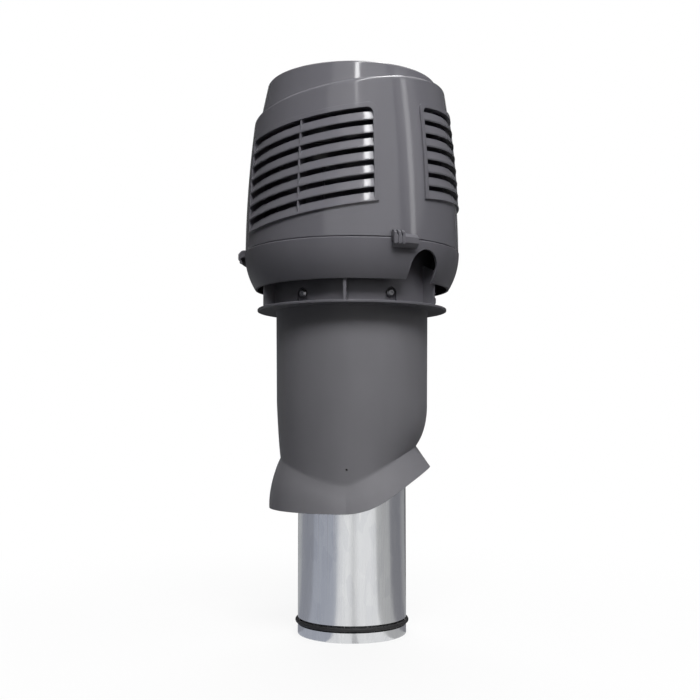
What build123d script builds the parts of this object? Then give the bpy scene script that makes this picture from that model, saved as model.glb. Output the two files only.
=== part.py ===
from build123d import *
import os
from math import cos, hypot, pi, radians, sin, tan

# Roof vent pipe: a louvred intake hood on an insulated pipe with a saddle skirt and a steel duct.
# Millimetres and degrees. The axis is Z, with the duct's lower end at Z = 0. The roof falls towards -X.
# Angles around the axis are counted from -Y, anticlockwise seen from above, so +X is at 90.

# Clearances
fit_gap = 0.3
screw_gap = 0.2

# Steel duct and its rubber ring
duct_radius = 80.0
duct_wall = 1.0
duct_above_flange = 8.0
groove_height = 19.0
groove_depth = 2.5
groove_floor = 6.0
groove_slope = 2.0
seal_section_radius = 2.9

# Outer pipe: a slightly tapered tube, then a foot that closes in towards the skirt's crease
pipe_top_radius = 113.7
foot_top_radius = 112.4
pipe_wall = 3.2
foot_top_height = 338.0
pipe_top_height = 473.3

# Crease between foot and skirt: its reach and height at the side, down the roof and up the roof
crease_side_reach = 107.0
crease_side_height = 227.0
crease_down_reach = 106.4
crease_down_rise = 30.0
crease_up_reach = 95.5
crease_up_rise = 46.0

# Belly of the foot: its reach, and its place from the crease (0) to the foot's top (1)
belly_down_reach = 109.3
belly_down_place = 0.346
belly_up_reach = 108.6
belly_up_place = 0.446

# Skirt: how far it flares, and the line of its lower edge seen from the side
skirt_edge_height = 183.0
skirt_side_reach = 121.5
skirt_down_reach = 121.5
skirt_up_reach = 116.5
skirt_up_edge_height = 243.0
skirt_bell_reach = 118.3
skirt_bell_drop = 34.0
skirt_bend_x = 30.0
skirt_bend_radius = 113.0
skirt_spare = 24.0
sight_hole_radius = 1.6
sight_hole_height = 243.0

# Insulation between pipe and duct
insulation_bottom_height = 342.0

# Top collar: flange plate, neck inside the hood base and spigot inside the pipe
flange_radius = 142.0
flange_thickness = 4.0
flange_edge_round = 1.2
neck_wall = 3.0
neck_height = 34.0
spigot_wall = 3.0
spigot_depth = 24.0

# Hood base: bowl, sleeve and webs
base_wall = 3.5
seam_radius = 161.2
seam_height = 561.0
seam_chamfer = 1.5
bowl_tuck = 15.7
bowl_gap = 28.7
register_wall = 2.5
register_height = 8.0
sleeve_radius = 125.0
sleeve_rise = 83.0
web_count = 6
web_thickness = 4.4
web_bowl_run = 7.2
web_bowl_rise = 16.0
web_sleeve_rise = 29.0
arch_angle = 45.0
arch_width = 50.0
arch_height = 43.0

# Screws in U-shaped notches of the sleeve, midway between the webs
screw_height = 12.7
screw_head_radius = 6.0
screw_head_height = 5.0
screw_head_edge = 2.5
screw_crown_radius = 3.6
screw_socket_radius = 2.0
screw_socket_depth = 2.0
screw_shank_radius = 2.4
screw_shank_length = 11.0
screw_tip_radius = 1.2
screw_tip_length = 2.4
notch_width = 17.0

# Louvred hood: a bowed wall, cut by a step that tilts up the roof, and a ring that stands on it
hood_wall = 3.5
hood_set_in = 0.9
hood_lean = 21.6
hood_bow = 5.0
rim_height = 816.5
rim_radius = 127.5
rim_round = 4.0
ring_taper = 0.21
step_drop = 32.3
step_tilt = 9.75
step_round = 7.0

# Louvre panels: centre and width round the axis of each, and its rows, which tilt up the roof too
panels = ((-23.5, 77.0), (90.0, 88.0), (203.5, 77.0))
panel_tilt = 8.4
panel_frame = 2.2
panel_head = 7.0
panel_proud = 3.3
panel_corner = 11.0
panel_rise = 42.5
window_corner = 8.0
blade_count = 7
blade_pitch = 19.2
blade_depth = 20.0
blade_slope = 0.8
blade_thickness = 3.0
blade_lap = 1.5
blade_set_back = 0.4
divider_width = 2.2
divider_recess = 0.8
jamb_width = 3.0
jamb_depth = 18.0

# Clips across the seam: a hooked strap with a ribbed grip at one end
clip_angles = (30.0, 150.0, 270.0)
clip_span = 13.0
clip_above = 5.5
clip_tail = 5.0
clip_shoulder = 5.0
clip_reach = 10.0
clip_strap = 4.0
clip_drop = 8.0
clip_below = 14.0
clip_lip = 5.0
clip_lip_edge = 2.0
grip_ribs = 3
grip_rib_span = 1.3
grip_rib_pitch = 2.1
grip_above = 9.6
grip_top_reach = 6.0
grip_bend = 5.5
grip_below = 10.0
grip_reach = 11.0

# Levels and radii that follow from the sizes above
flange_top = pipe_top_height + flange_thickness
bowl_edge_height = flange_top + bowl_gap
bowl_edge_radius = seam_radius - bowl_tuck
neck_radius = sleeve_radius - base_wall - fit_gap
spigot_radius = pipe_top_radius - pipe_wall - fit_gap
hood_foot_radius = seam_radius - hood_set_in
hood_height = rim_height - seam_height
step_height = rim_height - step_drop
panel_bottom = seam_height + panel_rise
panel_top = panel_bottom + blade_count * blade_pitch
bay = 360 / web_count


def radial_plane(angle):
    """A plane through the axis, with x outwards at the angle and y upwards."""
    turn = radians(angle)
    return Plane(origin=(0, 0, 0), x_dir=(sin(turn), -cos(turn), 0), z_dir=(-cos(turn), -sin(turn), 0))


def turned(points, centre=0, span=360, mode=Mode.ADD):
    """Turns a closed outline of (radius, height) points about the axis, span degrees around centre."""
    with BuildSketch(radial_plane(centre - span / 2)) as section:
        with BuildLine():
            Polyline(*points, close=True)
        make_face()
    revolve(section.sketch, axis=Axis.Z, revolution_arc=span, mode=mode)


def tilted_oval(side, reach, width, side_height, end_height):
    """An oval through the Y axis at side_height that reaches end_height at side * reach on the X axis."""
    rise = end_height - side_height
    plane = Plane(origin=(0, 0, side_height), x_dir=(side * reach, 0, rise), z_dir=(-side * rise, 0, reach))
    with BuildSketch(plane) as oval:
        Ellipse(hypot(reach, rise), width)
    return oval.sketch


def pipe_form(inset, spare):
    """The outer pipe's form, inset from its outside and lengthened by spare at the top."""
    top_slope = (pipe_top_radius - foot_top_radius) / (pipe_top_height - foot_top_height)
    top_radius = pipe_top_radius + top_slope * spare - inset
    side_slope = (skirt_side_reach - crease_side_reach) / (crease_side_height - skirt_edge_height)
    up_height = crease_side_height + crease_up_rise
    up_slope = (skirt_up_reach - crease_up_reach) / (up_height - skirt_up_edge_height)
    down_height = crease_side_height + crease_down_rise
    bell_height = down_height - skirt_bell_drop

    def side_reach(height):
        """Reach of the form at the side, on straight lines above and below the crease."""
        if height < crease_side_height:
            return crease_side_reach + side_slope * (crease_side_height - height) - inset
        share = (height - crease_side_height) / (foot_top_height - crease_side_height)
        return crease_side_reach + share * (foot_top_radius - crease_side_reach) - inset

    belly_side = (foot_top_height + crease_side_height) / 2
    bell_side = (crease_side_height + skirt_edge_height) / 2
    low_side = skirt_edge_height - skirt_spare
    rims = {
        -1: (
            belly_down_reach,
            down_height + belly_down_place * (foot_top_height - down_height),
            crease_down_reach,
            down_height,
        ),
        1: (
            belly_up_reach,
            up_height + belly_up_place * (foot_top_height - up_height),
            crease_up_reach,
            up_height,
        ),
    }
    bells = {
        -1: (skirt_bell_reach, bell_height, skirt_down_reach, skirt_edge_height - skirt_spare / 2),
        1: (
            crease_up_reach + up_slope * (up_height - skirt_up_edge_height) / 2,
            (up_height + skirt_up_edge_height) / 2,
            skirt_up_reach + up_slope * skirt_spare / 2,
            skirt_up_edge_height - skirt_spare / 2,
        ),
    }
    halves = []
    for side in (-1, 1):
        belly_reach, belly_height, crease_reach, crease_height = rims[side]
        bell_reach, bell_end, low_reach, low_end = bells[side]
        top = tilted_oval(side, foot_top_radius - inset, side_reach(foot_top_height),
                          foot_top_height, foot_top_height)
        belly = tilted_oval(side, belly_reach - inset, side_reach(belly_side), belly_side, belly_height)
        crease = tilted_oval(side, crease_reach - inset, side_reach(crease_side_height),
                             crease_side_height, crease_height)
        bell = tilted_oval(side, bell_reach - inset, side_reach(bell_side), bell_side, bell_end)
        low = tilted_oval(side, low_reach - inset, side_reach(low_side), low_side, low_end)
        with BuildPart() as half:
            loft([top, belly, crease])
            loft([crease, bell, low])
            split(bisect_by=Plane.YZ, keep=Keep.TOP if side > 0 else Keep.BOTTOM)
        halves.append(half.part)

    with BuildPart() as form:
        turned([(0, foot_top_height), (foot_top_radius - inset, foot_top_height),
                (top_radius, pipe_top_height + spare), (0, pipe_top_height + spare)])
        add(halves)
    return form.part


def wall_radius(height):
    """Outer radius of the hood's plain wall, a shallow parabola from the seam to the rim."""
    share = (height - seam_height) / hood_height
    return hood_foot_radius - hood_lean * share + 4 * hood_bow * share * (1 - share)


def roof_plane(height, tilt):
    """A plane that crosses the axis at the height and rises towards +X."""
    slope = radians(tilt)
    return Plane(origin=(0, 0, height), x_dir=(cos(slope), 0, sin(slope)), z_dir=(-sin(slope), 0, cos(slope)))


def wall_line(offset, low, high):
    """Draws the hood's wall line from low to high, offset outwards, and returns it."""
    heights = (low, (low + high) / 2, high)
    return ThreePointArc(*[(wall_radius(height) + offset, height) for height in heights])


def wall_shell(outer, inner, centre=0, span=360):
    """A solid between two offsets of the hood's wall, span degrees around centre."""
    with BuildPart() as shell:
        with BuildSketch(radial_plane(centre - span / 2)) as section:
            with BuildLine():
                outside = wall_line(outer, seam_height, rim_height)
                inside = wall_line(inner, seam_height, rim_height)
                Line(outside @ 0, inside @ 0)
                Line(outside @ 1, inside @ 1)
            make_face()
        revolve(section.sketch, axis=Axis.Z, revolution_arc=span)
    return shell.part


def panel_block(centre, span, low, high, corner):
    """A wedge through the wall between two tilted planes, with rounded upper corners if asked."""
    plane = roof_plane(low, panel_tilt)
    with BuildPart() as block:
        turned([
            (rim_radius, seam_height),
            (seam_radius + panel_proud, seam_height),
            (seam_radius + panel_proud, rim_height),
            (rim_radius, rim_height),
        ], centre, span)
        with BuildSketch(plane) as disc:
            Circle(2 * seam_radius)
        extrude(disc.sketch, amount=(high - low) * cos(radians(panel_tilt)), mode=Mode.INTERSECT)
        if corner:
            top_face = block.faces().sort_by(Axis(plane.origin, plane.z_dir))[-1]
            fillet(top_face.edges().filter_by(GeomType.LINE), corner)
    return block.part


def hood_form(inset, step_rounding, rim_rounding):
    """The hood's closed form, inset from its outside: the wall under the tilted step, and the ring."""
    lowest = step_height - seam_radius * tan(radians(step_tilt))
    foot = rim_radius + ring_taper * (rim_height - lowest) - inset
    top = rim_radius + ring_taper * inset - inset
    with BuildPart() as form:
        with BuildSketch(Plane.XZ):
            with BuildLine():
                line = wall_line(-inset, seam_height, rim_height)
                Polyline(line @ 1, (0, rim_height), (0, seam_height), line @ 0)
            make_face()
        revolve(axis=Axis.Z)
        split(bisect_by=roof_plane(step_height - inset, step_tilt), keep=Keep.BOTTOM)
        if step_rounding:
            fillet(form.faces().filter_by(GeomType.PLANE).sort_by(Axis.Z)[-1].edges(), step_rounding)
        turned([(0, lowest), (foot, lowest), (top, rim_height - inset), (0, rim_height - inset)])
        if rim_rounding:
            fillet(form.faces().sort_by(Axis.Z)[-1].edges(), rim_rounding)
    return form.part


# Steel duct, with a rolled groove for the rubber ring
duct_top = flange_top + duct_above_flange
groove_low = groove_height - groove_floor / 2
groove_high = groove_height + groove_floor / 2
duct_line = [
    (duct_radius, 0),
    (duct_radius, groove_low - groove_slope),
    (duct_radius - groove_depth, groove_low),
    (duct_radius - groove_depth, groove_high),
    (duct_radius, groove_high + groove_slope),
    (duct_radius, duct_top),
]
with BuildPart() as inner_duct:
    turned(duct_line + [(radius - duct_wall, height) for radius, height in reversed(duct_line)])

# Rubber ring that sits in the duct's groove
with BuildPart() as duct_seal:
    with BuildSketch(Plane.XZ):
        seal_centre = duct_radius - groove_depth + fit_gap + seal_section_radius
        with Locations((seal_centre, groove_height)):
            Circle(seal_section_radius)
    revolve(axis=Axis.Z)

# Outer pipe, trimmed below along the line of the roof
pipe_outside = pipe_form(0, 0)
pipe_inside = pipe_form(pipe_wall, pipe_wall)
with BuildPart() as outer_pipe:
    add(pipe_outside)
    add(pipe_inside, mode=Mode.SUBTRACT)
    with BuildSketch(Plane.XZ) as roof_cut:
        with BuildLine():
            far = 2 * skirt_down_reach
            up_rise = skirt_up_edge_height - skirt_edge_height
            slope = up_rise / (skirt_up_reach - skirt_bend_x)
            FilletPolyline(
                (-far, skirt_edge_height),
                (skirt_bend_x, skirt_edge_height),
                (far, skirt_edge_height + slope * (far - skirt_bend_x)),
                radius=skirt_bend_radius,
            )
            Polyline(
                (far, skirt_edge_height + slope * (far - skirt_bend_x)),
                (far, skirt_edge_height - 2 * skirt_spare),
                (-far, skirt_edge_height - 2 * skirt_spare),
                (-far, skirt_edge_height),
            )
        make_face()
    extrude(amount=far, both=True, mode=Mode.SUBTRACT)
    with BuildSketch(Plane.XZ):
        with Locations((0, sight_hole_height)):
            Circle(sight_hole_radius)
    extrude(amount=pipe_top_radius, mode=Mode.SUBTRACT)

# Foam sleeve between the pipe and the duct
insulation_top = pipe_top_height - spigot_depth - fit_gap
with BuildPart() as insulation_sleeve:
    pipe_slope = (pipe_top_radius - foot_top_radius) / (pipe_top_height - foot_top_height)
    foam_shrink = pipe_wall + fit_gap
    low_radius = foot_top_radius + pipe_slope * (insulation_bottom_height - foot_top_height) - foam_shrink
    high_radius = foot_top_radius + pipe_slope * (insulation_top - foot_top_height) - foam_shrink
    turned([
        (duct_radius + fit_gap, insulation_bottom_height),
        (low_radius, insulation_bottom_height),
        (high_radius, insulation_top),
        (duct_radius + fit_gap, insulation_top),
    ])

# Flange plate with its neck and spigot
with BuildPart() as top_collar:
    turned([
        (duct_radius + fit_gap, pipe_top_height),
        (flange_radius, pipe_top_height),
        (flange_radius, flange_top),
        (duct_radius + fit_gap, flange_top),
    ])
    fillet(top_collar.edges().filter_by(GeomType.CIRCLE).group_by(SortBy.RADIUS)[-1], flange_edge_round)
    turned([
        (neck_radius - neck_wall, flange_top),
        (neck_radius, flange_top),
        (neck_radius, flange_top + neck_height),
        (neck_radius - neck_wall, flange_top + neck_height),
    ])
    turned([
        (spigot_radius - spigot_wall, pipe_top_height - spigot_depth),
        (spigot_radius, pipe_top_height - spigot_depth),
        (spigot_radius, pipe_top_height),
        (spigot_radius - spigot_wall, pipe_top_height),
    ])
    for number in range(web_count):
        with BuildSketch(radial_plane((number + 0.5) * bay + 90)) as pilot:
            with Locations((0, flange_top + screw_height)):
                Circle(screw_shank_radius + screw_gap)
        extrude(pilot.sketch, amount=sleeve_radius, mode=Mode.SUBTRACT)

# Screws through the neck, with round socket heads in the sleeve's notches
seat = neck_radius + screw_gap
crown = seat + screw_head_height
tip = seat - screw_shank_length
screw_line = [
    (tip, 0),
    (tip, screw_tip_radius),
    (tip + screw_tip_length, screw_shank_radius),
    (seat, screw_shank_radius),
    (seat, screw_head_radius),
    (seat + screw_head_edge, screw_head_radius),
    (crown, screw_crown_radius),
    (crown, screw_socket_radius),
    (crown - screw_socket_depth, screw_socket_radius),
    (crown - screw_socket_depth, 0),
]
with BuildPart() as base_screws:
    for number in range(web_count):
        plane = radial_plane((number + 0.5) * bay)
        plane.origin = (0, 0, flange_top + screw_height)
        with BuildSketch(plane) as half_screw:
            with BuildLine():
                Polyline(*screw_line, close=True)
            make_face()
        revolve(half_screw.sketch, axis=Axis(plane.origin, plane.x_dir))

# Hood base: bowl with an open lower edge, a sleeve, six webs between them and an arched notch
with BuildPart() as hood_base:
    with BuildSketch(Plane.XZ):
        with BuildLine():
            outside = TangentArc((seam_radius, seam_height), (bowl_edge_radius, bowl_edge_height),
                                 tangent=(0, -1))
            inside = TangentArc((seam_radius - base_wall, seam_height),
                                (bowl_edge_radius - base_wall, bowl_edge_height), tangent=(0, -1))
            Line(outside @ 0, inside @ 0)
            Line(outside @ 1, inside @ 1)
        make_face()
    revolve(axis=Axis.Z)
    chamfer(hood_base.edges().filter_by(GeomType.CIRCLE).sort_by(SortBy.RADIUS)[-1], seam_chamfer)
    register_radius = hood_foot_radius - hood_wall - fit_gap
    register_foot = seam_radius - base_wall
    turned([
        (register_radius - register_wall, seam_height - register_height),
        (register_foot + base_wall / 2, seam_height - register_height),
        (register_foot + base_wall / 2, seam_height),
        (register_radius, seam_height),
        (register_radius, seam_height + register_height),
        (register_radius - register_wall, seam_height + register_height),
    ])
    turned([
        (sleeve_radius - base_wall, flange_top),
        (sleeve_radius, flange_top),
        (sleeve_radius, flange_top + sleeve_rise),
        (sleeve_radius - base_wall, flange_top + sleeve_rise),
    ])
    bowl_lean = base_wall / 2
    web_outline = [
        (sleeve_radius - base_wall / 2, flange_top),
        (flange_radius, flange_top),
        (flange_radius, bowl_edge_height),
        (bowl_edge_radius - bowl_lean, bowl_edge_height + bowl_lean),
        (bowl_edge_radius + web_bowl_run - bowl_lean, bowl_edge_height + web_bowl_rise),
        (sleeve_radius - base_wall / 2, bowl_edge_height + web_sleeve_rise),
    ]
    for number in range(web_count):
        with BuildSketch(radial_plane(number * bay)) as web:
            with BuildLine():
                Polyline(*web_outline, close=True)
            make_face()
        extrude(web.sketch, amount=web_thickness / 2, both=True)
    for number in range(web_count):
        with BuildSketch(radial_plane((number + 0.5) * bay + 90)) as notch:
            with Locations((0, flange_top + screw_height)):
                Circle(notch_width / 2)
            with Locations((0, flange_top + screw_height / 2)):
                Rectangle(notch_width, screw_height)
        extrude(notch.sketch, amount=sleeve_radius + base_wall, mode=Mode.SUBTRACT)
    arch_plane = radial_plane(arch_angle + 90)
    arch_plane.origin = arch_plane.z_dir * (sleeve_radius + base_wall)
    with BuildSketch(arch_plane) as arch:
        arch_centre = bowl_edge_height + arch_height - arch_width / 2
        with Locations((0, arch_centre)):
            Circle(arch_width / 2)
        with Locations((0, arch_centre - arch_height / 2)):
            Rectangle(arch_width, arch_height)
    extrude(arch.sketch, amount=seam_radius - sleeve_radius, mode=Mode.SUBTRACT)

# Rows of blades all round, each turned about the normal of its own tilted plane and cut at the panels' face
blade_proud = panel_proud - blade_set_back
blade_face = wall_shell(blade_proud, rim_radius - seam_radius)
with BuildPart() as blades:
    for number in range(blade_count):
        height = panel_bottom + number * blade_pitch
        swing = wall_radius(height) * tan(radians(panel_tilt))
        shift = (wall_radius(height - swing) - wall_radius(height + swing)) / 2
        face = wall_radius(height) + blade_proud
        row = roof_plane(height, panel_tilt)
        row.origin = row.origin - row.x_dir * shift
        section_plane = Plane(origin=row.origin, x_dir=-row.y_dir, z_dir=-row.x_dir)
        with BuildSketch(section_plane) as blade:
            with BuildLine():
                Polyline(
                    (face + panel_proud, -panel_proud * blade_slope),
                    (face + panel_proud + blade_thickness, -panel_proud * blade_slope),
                    (face + blade_thickness - blade_depth, blade_depth * blade_slope),
                    (face - blade_depth, blade_depth * blade_slope),
                    close=True,
                )
            make_face()
        revolve(blade.sketch, axis=Axis(row.origin, row.z_dir))
    add(blade_face, mode=Mode.INTERSECT)

# Louvre panels: raised frames, their openings, and what stands in each opening
degrees_per_mm = 180 / (pi * wall_radius((panel_bottom + panel_top) / 2))
jamb_span = jamb_width * degrees_per_mm
frames = []
windows = []
fillings = []
for centre, span in panels:
    frame_block = panel_block(centre, span + 2 * panel_frame, panel_bottom, panel_top + panel_head, panel_corner)
    with BuildPart() as frame:
        add(wall_shell(panel_proud, -hood_wall / 2, centre, span + 4 * panel_frame))
        add(frame_block, mode=Mode.INTERSECT)
    frames.append(frame.part)
    windows.append(panel_block(centre, span, panel_bottom + blade_lap, panel_top, window_corner))
    filling_block = panel_block(centre, span + 2 * jamb_span, panel_bottom, panel_top + blade_lap, 0)
    divider = wall_shell(panel_proud - divider_recess, -jamb_depth, centre, divider_width * degrees_per_mm)
    with BuildPart() as filling:
        add(blades.part)
        add(divider)
        for side in (-1, 1):
            jamb_centre = centre + side * (span + jamb_span) / 2
            add(wall_shell(-hood_wall / 2, -jamb_depth, jamb_centre, jamb_span))
        add(filling_block, mode=Mode.INTERSECT)
    fillings.append(filling.part)

# Louvred hood: the hollow form with its panels
hood_outside = hood_form(0, step_round, rim_round)
hood_inside = hood_form(hood_wall, 0, 0)
with BuildPart() as louvred_hood:
    add(hood_outside)
    chamfer(louvred_hood.edges().group_by(Axis.Z)[0], seam_chamfer)
    add(hood_inside, mode=Mode.SUBTRACT)
    add(frames)
    add(windows, mode=Mode.SUBTRACT)
    for filling in fillings:
        add(filling)

# Clips across the seam
clip_foot = seam_radius + fit_gap
clip_line = [
    (0, -clip_tail),
    (0, clip_above),
    (clip_shoulder, clip_above),
    (clip_reach, 0),
    (clip_reach, -clip_drop),
    (clip_lip, -clip_below),
    (clip_lip - clip_lip_edge, -clip_below),
    (clip_reach - clip_strap, -clip_drop),
    (clip_reach - clip_strap, -clip_tail),
]
rib_line = [
    (clip_shoulder, -grip_below),
    (grip_reach, -grip_below),
    (grip_reach, grip_bend),
    (grip_top_reach, grip_above),
    (0, grip_above),
    (0, 0),
    (clip_shoulder, 0),
]
clips = []
for angle in clip_angles:
    with BuildPart() as clip:
        turned([(clip_foot + out, seam_height + up) for out, up in clip_line], angle, clip_span)
        for number in range(grip_ribs):
            rib_angle = angle + (grip_rib_span - clip_span) / 2 + number * grip_rib_pitch
            turned([(clip_foot + out, seam_height + up) for out, up in rib_line], rib_angle, grip_rib_span)
    clips.append(clip)

os.makedirs("parts", exist_ok=True)
inner_duct.part.label = "inner_duct"
export_step(inner_duct.part, "parts/inner_duct.step")
duct_seal.part.label = "duct_seal"
export_step(duct_seal.part, "parts/duct_seal.step")
outer_pipe.part.label = "outer_pipe"
export_step(outer_pipe.part, "parts/outer_pipe.step")
insulation_sleeve.part.label = "insulation_sleeve"
export_step(insulation_sleeve.part, "parts/insulation_sleeve.step")
top_collar.part.label = "top_collar"
export_step(top_collar.part, "parts/top_collar.step")
base_screws.part.label = "base_screws"
export_step(base_screws.part, "parts/base_screws.step")
hood_base.part.label = "hood_base"
export_step(hood_base.part, "parts/hood_base.step")
louvred_hood.part.label = "louvred_hood"
export_step(louvred_hood.part, "parts/louvred_hood.step")
for number, clip in enumerate(clips, start=1):
    clip.part.label = f"hood_clip_{number}"
    export_step(clip.part, f"parts/hood_clip_{number}.step")
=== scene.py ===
from math import cos, hypot, radians, sin, tan

import bmesh
import bpy
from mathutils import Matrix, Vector


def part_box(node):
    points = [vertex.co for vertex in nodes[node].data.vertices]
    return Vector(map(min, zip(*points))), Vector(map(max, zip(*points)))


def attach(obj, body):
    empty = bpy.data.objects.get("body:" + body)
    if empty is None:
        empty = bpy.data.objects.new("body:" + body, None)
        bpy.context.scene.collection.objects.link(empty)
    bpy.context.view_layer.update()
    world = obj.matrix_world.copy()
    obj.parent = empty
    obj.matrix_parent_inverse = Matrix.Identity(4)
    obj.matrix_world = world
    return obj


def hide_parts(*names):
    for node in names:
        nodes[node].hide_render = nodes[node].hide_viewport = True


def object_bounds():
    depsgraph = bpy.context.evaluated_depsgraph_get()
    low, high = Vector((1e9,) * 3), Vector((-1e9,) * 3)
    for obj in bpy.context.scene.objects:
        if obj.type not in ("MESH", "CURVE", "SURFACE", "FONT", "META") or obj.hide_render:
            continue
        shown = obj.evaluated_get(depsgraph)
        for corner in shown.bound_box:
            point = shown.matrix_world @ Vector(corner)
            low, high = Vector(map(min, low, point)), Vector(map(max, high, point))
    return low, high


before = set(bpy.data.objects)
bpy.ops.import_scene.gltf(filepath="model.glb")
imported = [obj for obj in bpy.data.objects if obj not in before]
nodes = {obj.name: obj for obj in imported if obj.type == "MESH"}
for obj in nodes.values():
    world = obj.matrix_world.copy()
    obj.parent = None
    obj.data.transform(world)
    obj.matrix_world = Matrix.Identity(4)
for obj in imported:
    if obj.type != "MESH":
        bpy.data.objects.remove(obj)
cad_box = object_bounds()
scene = bpy.context.scene

# Camera, from the photograph: metres, degrees, and the picture's side in pixels
PICTURE = 700
FOCAL_PIXELS = 990.1
SENSOR_MM = 36.0
CAMERA_DISTANCE = 1.4877
CAMERA_HEIGHT = 0.3188
CAMERA_TURN = 4.0
CAMERA_PITCH = 3.77
AXIS_PIXEL = 351.91
FARTHEST_SEEN = 50.0

# The hood's wall line, its louvre panels (middle and span in degrees) and their tilted rows, in metres
WALL_FOOT = 0.1603
WALL_LEAN = 0.0216
WALL_BOW = 0.005
PANELS = ((-23.5, 77.0), (90.0, 88.0), (203.5, 77.0))
PANEL_TILT = 8.4
ROWS = 7
ROW_PITCH = 0.0192
LOWEST_ROW = 0.0425
BLADE_PROUD = 0.0029
TILT_PASSES = 4

# The outer lips of the louvre blades, in metres, with their ends and sharp edges in degrees
LIP_START = 0.001
LIP_TALL = 0.0122
LIP_LEAN = 0.005
LIP_THICKNESS = 0.0016
LIP_PROUD = 0.0002
LIP_END = 0.3
LIP_STEPS = 40
LIP_SHARP = 30.0

# The crease between the pipe's foot and skirt: where the solid has it, its rise for each metre along X,
# and how far it comes down and is rounded
CREASE_LOW = 0.227
CREASE_RISE_LEFT = 0.283
CREASE_RISE_RIGHT = 0.483
CREASE_ROUNDING = 0.011
CREASE_DROP = 0.0102
DROP_CENTRE = -0.035
DROP_REACH_LEFT = 0.075
DROP_REACH_RIGHT = 0.13
DROP_ABOVE = 0.014
DROP_BELOW = 0.042

# The pipe wall's mesh: the zone that is split, its longest edge, and its sharp edges in degrees
PIPE_ZONE_TOP = 0.3
PIPE_EDGE = 0.005
PIPE_SPLITS = 5
PIPE_SHARP = 15.0
SAME_POINT = 1e-6

# The duct's colour goes nearly black inside the pipe, above these heights in metres: painted shade
PAINTED_SHADE_HEIGHTS = (0.234, 0.24)
PAINTED_SHADE_TONE = 0.02

# Shader settings that materials share
PLASTIC_IOR = 1.5
BEVEL_SAMPLES = 6
MIX_INPUTS = (0, 6, 7)
MIX_RESULT = 2
WHITE = (1.0, 1.0, 1.0, 1.0)
BLACK = (0.0, 0.0, 0.0, 1.0)

# Floor: half its side, its tones, and its glow from near the object to further out
FLOOR_HALF = 12.0
FLOOR_TONE = (0.9, 0.9, 0.9, 1.0)
FLOOR_BOUNCE = (0.08, 0.08, 0.08, 1.0)
FLOOR_ROUGHNESS = 0.9
GLOW_NEAR = 0.84
GLOW_NEAR_RADIUS = 0.1
GLOW_FULL_RADIUS = 1.1

# Side cards: metres, the grey at their top and the heights between which they fade to it
CARD_STEPS = 12
CARD_INNER = 0.0805
CARD_OUTER = 2.0
CARD_LIFT = 0.0005
CARD_TALL = 2.6
CARD_TALL_LEFT = 4.5
CARD_TALL_FRONT = 0.1
CARD_HIGH = (0.1, 0.1, 0.105)
CARD_FADE = (0.1, 0.7)

# Light: the world's levels, lamp powers in watts, and the places of the lamps that mirror in the hood
AMBIENT_LOW = 0.015
AMBIENT_HIGH = 0.28
KEY_POWER = 52.0
FILL_BACK_POWER = 46.0
STRIP_RIGHT_POWER = 1.9
STRIP_WIDE_POWER = 1.6
TUBE_POWER = 24.0
TUBE_PLACE = (0.325, -0.5, 2.2)
TUBE_WIDTH = 0.15
TUBE_LENGTH = 3.0
BROW_POWER = 0.7
BROW_HEIGHT = 0.76


def direction(turn, rise=0.0):
    """Unit vector at an angle round the axis, counted from -Y towards +X, and above the horizon."""
    around, above = radians(turn), radians(rise)
    return Vector((sin(around) * cos(above), -cos(around) * cos(above), sin(above)))


class Nodes:
    """Adds nodes to one node tree and links them."""

    def __init__(self, tree):
        self.tree = tree

    def add(self, kind, **inputs):
        """A new node, with plain values for some of its inputs."""
        node = self.tree.nodes.new("ShaderNode" + kind)
        for name, value in inputs.items():
            node.inputs[name.replace("_", " ")].default_value = value
        return node

    def link(self, source, target):
        self.tree.links.new(source, target)

    def calculate(self, operation, first, second):
        """One number worked out from two."""
        node = self.add("Math")
        node.operation = operation
        self.link(first, node.inputs[0])
        self.link(second, node.inputs[1])
        return node.outputs["Value"]

    def height(self, vector):
        """The Z of a vector."""
        parts = self.add("SeparateXYZ")
        self.link(vector, parts.inputs["Vector"])
        return parts.outputs["Z"]

    def seen_directly(self):
        """One for camera, glossy and transmission rays, else zero."""
        path = self.add("LightPath")
        total = path.outputs["Is Camera Ray"]
        for name in ("Is Glossy Ray", "Is Transmission Ray"):
            total = self.calculate("MAXIMUM", total, path.outputs[name])
        return total


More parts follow.
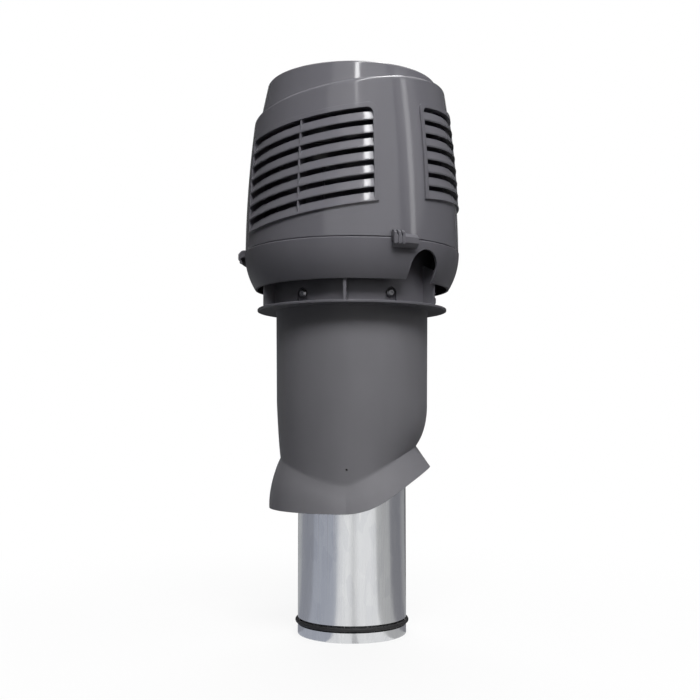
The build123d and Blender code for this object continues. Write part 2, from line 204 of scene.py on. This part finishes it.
class Material(Nodes):
    """Builds one material round its main shader."""

    def __init__(self, name):
        self.material = bpy.data.materials.new(name)
        self.material.use_nodes = True
        super().__init__(self.material.node_tree)
        self.shader = self.tree.nodes["Principled BSDF"]

    def feed(self, source, name):
        """Links an output to one of the shader's inputs."""
        self.link(source, self.shader.inputs[name])

    def fix(self, name, value):
        """Gives one of the shader's inputs the same value all over."""
        self.shader.inputs[name].default_value = value

    def place(self, stretch=(1, 1, 1)):
        """Object coordinates in metres, stretched along the axes."""
        coordinates = self.add("TexCoord")
        mapping = self.add("Mapping", Scale=stretch)
        self.link(coordinates.outputs["Object"], mapping.inputs["Vector"])
        return mapping.outputs["Vector"]

    def noise(self, place, scale, detail=4.0, roughness=0.5):
        node = self.add("TexNoise", Scale=scale, Detail=detail, Roughness=roughness)
        self.link(place, node.inputs["Vector"])
        return node.outputs["Fac"]

    def cells(self, place, scale):
        node = self.add("TexVoronoi", Scale=scale)
        self.link(place, node.inputs["Vector"])
        return node.outputs

    def ramp(self, value, low, high, positions=(0.3, 0.7)):
        """A ramp between two grey levels or two colours."""
        node = self.add("ValToRGB")
        for element, position, level in zip(node.color_ramp.elements, positions, (low, high)):
            element.position = position
            element.color = (level, level, level, 1) if isinstance(level, float) else (*level, 1)
        self.link(value, node.inputs["Fac"])
        return node.outputs["Color"]

    def colour_mix(self, blend):
        """A mix of two colours: its share, its two colours and its result, found by number."""
        node = self.add("Mix")
        node.data_type = "RGBA"
        node.blend_type = blend
        return [node.inputs[number] for number in MIX_INPUTS] + [node.outputs[MIX_RESULT]]

    def bump(self, height, strength, distance, below=None):
        node = self.add("Bump", Strength=strength, Distance=distance)
        self.link(height, node.inputs["Height"])
        if below:
            self.link(below, node.inputs["Normal"])
        return node.outputs["Normal"]

    def rounded(self, radius):
        """Normals as if every edge had a small radius."""
        node = self.add("Bevel", Radius=radius)
        node.samples = BEVEL_SAMPLES
        return node.outputs["Normal"]


def moulded_plastic(name, dark, light, smooth, rough, grain_scale, grain_depth, edge_radius, gloss):
    """A moulded plastic with broad colour drift, fine grain and softly rounded edges."""
    m = Material(name)
    drift = m.noise(m.place(stretch=(1, 1, 0.35)), scale=9.0, detail=3.0)
    m.feed(m.ramp(drift, dark, light), "Base Color")
    wear = m.noise(m.place(stretch=(1, 1, 0.2)), scale=60.0, detail=5.0, roughness=0.6)
    m.feed(m.ramp(wear, smooth, rough), "Roughness")
    grain = m.noise(m.place(), scale=grain_scale, detail=6.0, roughness=0.6)
    m.feed(m.bump(grain, strength=0.35, distance=grain_depth, below=m.rounded(edge_radius)), "Normal")
    m.fix("IOR", PLASTIC_IOR)
    m.fix("Specular IOR Level", gloss)
    return m.material


def galvanised_steel(name):
    """Bright galvanised sheet: faint crystal patches and drawn lines along the tube, with painted shade
    inside the pipe.
    """
    m = Material(name)
    spangle = m.cells(m.place(stretch=(1, 1, 0.3)), scale=110.0)["Color"]
    patch = m.ramp(spangle, (0.66, 0.67, 0.69), (0.72, 0.73, 0.74), positions=(0.1, 0.9))
    share, bright, painted_shade, tint = m.colour_mix("MULTIPLY")
    share.default_value = 1.0
    m.link(patch, bright)
    # Painted shade: the colour goes nearly black above a height, where the pipe shades the duct
    m.link(m.ramp(m.height(m.place()), 1.0, PAINTED_SHADE_TONE, positions=PAINTED_SHADE_HEIGHTS), painted_shade)
    m.feed(tint, "Base Color")
    lines = m.noise(m.place(stretch=(1, 1, 0.008)), scale=260.0)
    m.feed(m.ramp(lines, 0.16, 0.3), "Roughness")
    waves = m.noise(m.place(stretch=(1, 1, 0.03)), scale=34.0, detail=2.0)
    dents = m.bump(waves, strength=0.25, distance=0.0012)
    m.feed(m.bump(lines, strength=0.05, distance=0.0004, below=dents), "Normal")
    m.fix("Metallic", 1.0)
    return m.material


def zinc(name):
    """Dull grey zinc of the screws."""
    m = Material(name)
    cloud = m.noise(m.place(), scale=900.0)
    m.feed(m.ramp(cloud, (0.16, 0.16, 0.17), (0.24, 0.24, 0.25)), "Base Color")
    m.feed(m.ramp(cloud, 0.25, 0.45), "Roughness")
    m.feed(m.rounded(0.0004), "Normal")
    m.fix("Metallic", 1.0)
    return m.material


def rubber(name):
    """Matt black rubber with a fine bloom."""
    m = Material(name)
    bloom = m.noise(m.place(), scale=300.0, detail=5.0)
    m.feed(m.ramp(bloom, (0.012, 0.012, 0.013), (0.03, 0.03, 0.031)), "Base Color")
    m.feed(m.ramp(bloom, 0.5, 0.75), "Roughness")
    m.feed(m.bump(bloom, strength=0.2, distance=0.0005), "Normal")
    return m.material


def foam(name):
    """Pale rigid foam with small cells."""
    m = Material(name)
    cells = m.cells(m.place(), scale=700.0)["Distance"]
    m.feed(m.ramp(cells, (0.5, 0.48, 0.42), (0.72, 0.7, 0.62), positions=(0.0, 0.6)), "Base Color")
    m.feed(m.bump(cells, strength=0.5, distance=0.0006), "Normal")
    m.fix("Roughness", 0.9)
    return m.material


def dress(material, *names):
    """Gives a material to CAD nodes."""
    for name in names:
        node = nodes[name]
        node.data.materials.clear()
        node.data.materials.append(material)


hood_plastic = moulded_plastic(
    "hood_plastic", dark=(0.165, 0.162, 0.182), light=(0.190, 0.187, 0.210), smooth=0.09, rough=0.12,
    grain_scale=900.0, grain_depth=0.00004, edge_radius=0.0009, gloss=0.5)
base_plastic = moulded_plastic(
    "base_plastic", dark=(0.140, 0.137, 0.154), light=(0.162, 0.159, 0.178), smooth=0.34, rough=0.42,
    grain_scale=900.0, grain_depth=0.00015, edge_radius=0.0009, gloss=0.25)
pipe_plastic = moulded_plastic(
    "pipe_plastic", dark=(0.194, 0.191, 0.207), light=(0.226, 0.222, 0.240), smooth=0.5, rough=0.62,
    grain_scale=1800.0, grain_depth=0.0005, edge_radius=0.0005, gloss=0.35)
dress(hood_plastic, "louvred_hood")
dress(base_plastic, "hood_base", "hood_clip_1", "hood_clip_2", "hood_clip_3", "top_collar")
dress(pipe_plastic, "outer_pipe")
dress(galvanised_steel("galvanised_steel"), "inner_duct")
dress(zinc("screw_zinc"), "base_screws")
dress(rubber("seal_rubber"), "duct_seal")
dress(foam("insulation_foam"), "insulation_sleeve")


def smooth_piece(name, shape, sharp, material):
    """A piece made from a finished bmesh, smooth but for edges over an angle in degrees."""
    for face in shape.faces:
        face.smooth = True
    mesh = bpy.data.meshes.new(name)
    shape.to_mesh(mesh)
    shape.free()
    mesh.set_sharp_from_angle(angle=radians(sharp))
    mesh.materials.append(material)
    piece = bpy.data.objects.new(name, mesh)
    scene.collection.objects.link(piece)
    return piece


# Outer lips of the louvre blades
hood_low, hood_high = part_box("louvred_hood")


def wall_radius(z):
    """Outer radius of the hood's plain wall, a shallow parabola from the seam to the rim."""
    share = (z - hood_low[2]) / (hood_high[2] - hood_low[2])
    return WALL_FOOT - WALL_LEAN * share + 4 * WALL_BOW * share * (1 - share)


def lip_section(row, turn):
    """The four corners of a blade's lip, on the row's tilted plane at an angle round the axis."""
    level = hood_low[2] + LOWEST_ROW + row * ROW_PITCH
    z = level
    for _ in range(TILT_PASSES):
        reach = wall_radius(z) + BLADE_PROUD
        z = level + reach * sin(radians(turn)) * tan(radians(PANEL_TILT))
    corners = (
        (LIP_PROUD, 0),
        (-LIP_LEAN, LIP_TALL),
        (-LIP_LEAN - LIP_THICKNESS, LIP_TALL),
        (-LIP_THICKNESS, 0),
    )
    return [(reach + out) * direction(turn) + Vector((0, 0, z + LIP_START + up)) for out, up in corners]


def louvre_lips(name, centre, span):
    """The lips of one panel's blades, as one piece."""
    width = span + 2 * LIP_END
    turns = [centre - width / 2 + width * step / LIP_STEPS for step in range(LIP_STEPS + 1)]
    shape = bmesh.new()
    for row in range(ROWS):
        rings = [[shape.verts.new(corner) for corner in lip_section(row, turn)] for turn in turns]
        for near, far in zip(rings, rings[1:]):
            for i in range(len(near)):
                j = (i + 1) % len(near)
                shape.faces.new((near[i], near[j], far[j], far[i]))
        shape.faces.new(rings[0])
        shape.faces.new(rings[-1])
    bmesh.ops.recalc_face_normals(shape, faces=shape.faces)
    lips = smooth_piece(name, shape, LIP_SHARP, hood_plastic)
    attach(lips, "root")


for number, (centre, span) in enumerate(PANELS, start=1):
    louvre_lips(f"louvre_lips_{number}", centre, span)


# Outer pipe with a rounded crease between foot and skirt
def fade(share):
    """One at zero and below, zero at one and above, smooth between."""
    share = min(max(share, 0.0), 1.0)
    return 1 - share * share * (3 - 2 * share)


def crease_shift(x, z):
    """How far a point of the pipe's wall moves up, so that the crease is round at its lowest place."""
    rise = CREASE_RISE_RIGHT if x > 0 else CREASE_RISE_LEFT
    above = z - CREASE_LOW - rise * abs(x)
    rounding = (CREASE_RISE_LEFT + CREASE_RISE_RIGHT) / 2 * (hypot(x, CREASE_ROUNDING) - abs(x))
    reach = DROP_REACH_RIGHT if x > DROP_CENTRE else DROP_REACH_LEFT
    drop = CREASE_DROP * max(0.0, 1 - ((x - DROP_CENTRE) / reach) ** 2)
    return (rounding - drop) * fade(above / DROP_ABOVE if above > 0 else -above / DROP_BELOW)


def round_creased_pipe(name):
    """The outer pipe's wall with its crease rounded, in place of the solid's."""
    shape = bmesh.new()
    shape.from_mesh(nodes["outer_pipe"].data)
    bmesh.ops.remove_doubles(shape, verts=shape.verts, dist=SAME_POINT)
    for _ in range(PIPE_SPLITS):
        zone = [edge for edge in shape.edges if min(vert.co.z for vert in edge.verts) < PIPE_ZONE_TOP]
        long_edges = [edge for edge in zone if edge.calc_length() > PIPE_EDGE]
        bmesh.ops.subdivide_edges(shape, edges=long_edges, cuts=1)
        bmesh.ops.triangulate(shape, faces=[face for face in shape.faces if len(face.verts) > 3])
    bmesh.ops.dissolve_degenerate(shape, edges=shape.edges, dist=SAME_POINT)
    for vert in shape.verts:
        vert.co.z += crease_shift(vert.co.x, vert.co.z)
    pipe = smooth_piece(name, shape, PIPE_SHARP, pipe_plastic)
    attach(pipe, "root")
    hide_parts("outer_pipe")


round_creased_pipe("pipe_wall")


# Stage: floor, world, side cards and lamps
def floor_white(name):
    """White where it is seen or mirrored, dim to other light, with the shadow kept near the object."""
    m = Material(name)
    seen = m.seen_directly()
    m.fix("Roughness", FLOOR_ROUGHNESS)
    m.fix("Specular IOR Level", 0.0)
    share, unseen_tone, seen_tone, tone = m.colour_mix("MIX")
    m.link(seen, share)
    unseen_tone.default_value = FLOOR_BOUNCE
    seen_tone.default_value = FLOOR_TONE
    m.feed(tone, "Base Color")
    radius = m.add("VectorMath")
    radius.operation = "LENGTH"
    m.link(m.add("TexCoord").outputs["Object"], radius.inputs[0])
    spread = m.add("MapRange", To_Min=GLOW_NEAR, To_Max=1.0,
                   From_Min=GLOW_NEAR_RADIUS, From_Max=GLOW_FULL_RADIUS)
    spread.interpolation_type = "SMOOTHSTEP"
    m.link(radius.outputs["Value"], spread.inputs["Value"])
    glow = m.add("Emission", Color=WHITE)
    mix = m.add("MixShader")
    m.link(m.calculate("MULTIPLY", seen, spread.outputs["Result"]), mix.inputs["Fac"])
    m.link(m.shader.outputs["BSDF"], mix.inputs[1])
    m.link(glow.outputs["Emission"], mix.inputs[2])
    m.link(mix.outputs["Shader"], m.tree.nodes["Material Output"].inputs["Surface"])
    return m.material


floor_mesh = bpy.data.meshes.new("floor")
floor_corners = [(-FLOOR_HALF, -FLOOR_HALF, 0), (FLOOR_HALF, -FLOOR_HALF, 0),
                 (FLOOR_HALF, FLOOR_HALF, 0), (-FLOOR_HALF, FLOOR_HALF, 0)]
floor_mesh.from_pydata(floor_corners, [], [(0, 1, 2, 3)])
floor_mesh.materials.append(floor_white("floor_white"))
floor = bpy.data.objects.new("floor", floor_mesh)
scene.collection.objects.link(floor)


def studio_world(name):
    """White where it is seen or mirrored, elsewhere a soft light that comes more from above."""
    world = bpy.data.worlds.new(name)
    world.use_nodes = True
    n = Nodes(world.node_tree)
    dome = n.add("MapRange", To_Min=AMBIENT_LOW, To_Max=AMBIENT_HIGH)
    n.link(n.height(n.add("TexCoord").outputs["Generated"]), dome.inputs["Value"])
    level = n.add("MapRange", To_Max=1.0)
    n.link(dome.outputs["Result"], level.inputs["To Min"])
    n.link(n.seen_directly(), level.inputs["Value"])
    background = n.tree.nodes["Background"]
    background.inputs["Color"].default_value = WHITE
    n.link(level.outputs["Result"], background.inputs["Strength"])
    return world


scene.world = studio_world("studio")


def card_grey(name, low_tone):
    """A glowing grey that fades upwards."""
    m = Material(name)
    m.fix("Base Color", BLACK)
    m.fix("Specular IOR Level", 0.0)
    m.fix("Emission Strength", 1.0)
    m.feed(m.ramp(m.height(m.place()), low_tone, CARD_HIGH, positions=CARD_FADE), "Emission Color")
    return m.material


def side_card(name, first, last, low_tone, tall=CARD_TALL):
    """A curved grey card beside the object, on the floor and up, that only mirrors in it."""
    profile = ((CARD_INNER, CARD_LIFT), (CARD_OUTER, CARD_LIFT), (CARD_OUTER, tall))
    verts = []
    for step in range(CARD_STEPS + 1):
        way = direction(first + (last - first) * step / CARD_STEPS)
        verts += [reach * way + Vector((0, 0, z)) for reach, z in profile]
    faces = []
    for step in range(CARD_STEPS):
        for row in range(len(profile) - 1):
            near = len(profile) * step + row
            far = near + len(profile)
            faces.append((near, far, far + 1, near + 1))
    card_mesh = bpy.data.meshes.new(name)
    card_mesh.from_pydata(verts, [], faces)
    card_mesh.materials.append(card_grey(name, low_tone))
    card = bpy.data.objects.new(name, card_mesh)
    scene.collection.objects.link(card)
    for ray in ("camera", "diffuse", "transmission", "volume_scatter", "shadow"):
        setattr(card, "visible_" + ray, False)


side_card("card_left_front", first=-80, last=-24, low_tone=(0.44, 0.46, 0.52), tall=CARD_TALL_LEFT)
side_card("card_left", first=-125, last=-80, low_tone=(0.31, 0.32, 0.36), tall=CARD_TALL_LEFT)
side_card("card_left_back", first=-155, last=-125, low_tone=(0.46, 0.47, 0.48))
side_card("card_front", first=4, last=11, low_tone=(0.62, 0.62, 0.62), tall=CARD_TALL_FRONT)
side_card("card_right_front", first=54, last=88, low_tone=(0.52, 0.52, 0.52))
side_card("card_right", first=88, last=128, low_tone=(0.25, 0.25, 0.27))
side_card("card_right_back", first=128, last=155, low_tone=(0.36, 0.36, 0.37))
side_card("card_back", first=155, last=205, low_tone=(0.04, 0.04, 0.04))


def area_lamp(name, power, width, height):
    """A rectangular lamp that shines down until it is turned."""
    lamp = bpy.data.lights.new(name, "AREA")
    lamp.shape = "RECTANGLE"
    lamp.size = width
    lamp.size_y = height
    lamp.energy = power
    box = bpy.data.objects.new(name, lamp)
    scene.collection.objects.link(box)
    return box


def softbox(name, power, target, turn, rise, distance, width, height):
    """A lamp that faces the target, placed by its angles seen from there."""
    box = area_lamp(name, power, width, height)
    box.location = target + distance * direction(turn, rise)
    box.rotation_euler = (target - box.location).to_track_quat("-Z", "Y").to_euler()
    return box


# Broad lamps from the front and back that don't mirror, and two strips that show in the hood's right side
middle = Vector((0, 0, (cad_box[0][2] + cad_box[1][2]) / 2))
hood_middle = Vector((0, 0, (hood_low[2] + hood_high[2]) / 2))
key = softbox("key", KEY_POWER, middle, turn=14, rise=46, distance=2.6, width=1.6, height=0.9)
key.visible_glossy = False
fill_back = softbox("fill_back", FILL_BACK_POWER, middle,
                    turn=186, rise=36, distance=2.6, width=2.4, height=1.2)
fill_back.visible_glossy = False
softbox("strip_right", STRIP_RIGHT_POWER, hood_middle, turn=69, rise=22, distance=1.9, width=0.2, height=1.2)
softbox("strip_right_wide", STRIP_WIDE_POWER, hood_middle,
        turn=72, rise=22, distance=1.95, width=0.8, height=1.2)

# A long narrow lamp overhead, from front to back, and a small one in front, which only mirror
tube_top = area_lamp("tube_top", TUBE_POWER, TUBE_WIDTH, TUBE_LENGTH)
tube_top.location = TUBE_PLACE
tube_top.visible_diffuse = False
brow_target = Vector((0, 0, BROW_HEIGHT))
brow = softbox("brow", BROW_POWER, brow_target, turn=9.5, rise=34, distance=3.0, width=0.12, height=0.5)
brow.visible_diffuse = False

# Camera
camera_data = bpy.data.cameras.new("camera")
camera_data.sensor_width = SENSOR_MM
camera_data.lens = FOCAL_PIXELS * SENSOR_MM / PICTURE
camera_data.shift_x = (PICTURE / 2 - AXIS_PIXEL) / PICTURE
camera_data.clip_end = FARTHEST_SEEN
camera = bpy.data.objects.new("camera", camera_data)
camera.location = CAMERA_DISTANCE * direction(CAMERA_TURN) + Vector((0, 0, CAMERA_HEIGHT))
camera.rotation_euler = (radians(90 + CAMERA_PITCH), 0, radians(CAMERA_TURN))
scene.collection.objects.link(camera)
scene.camera = camera

scene.view_settings.view_transform = "Standard"
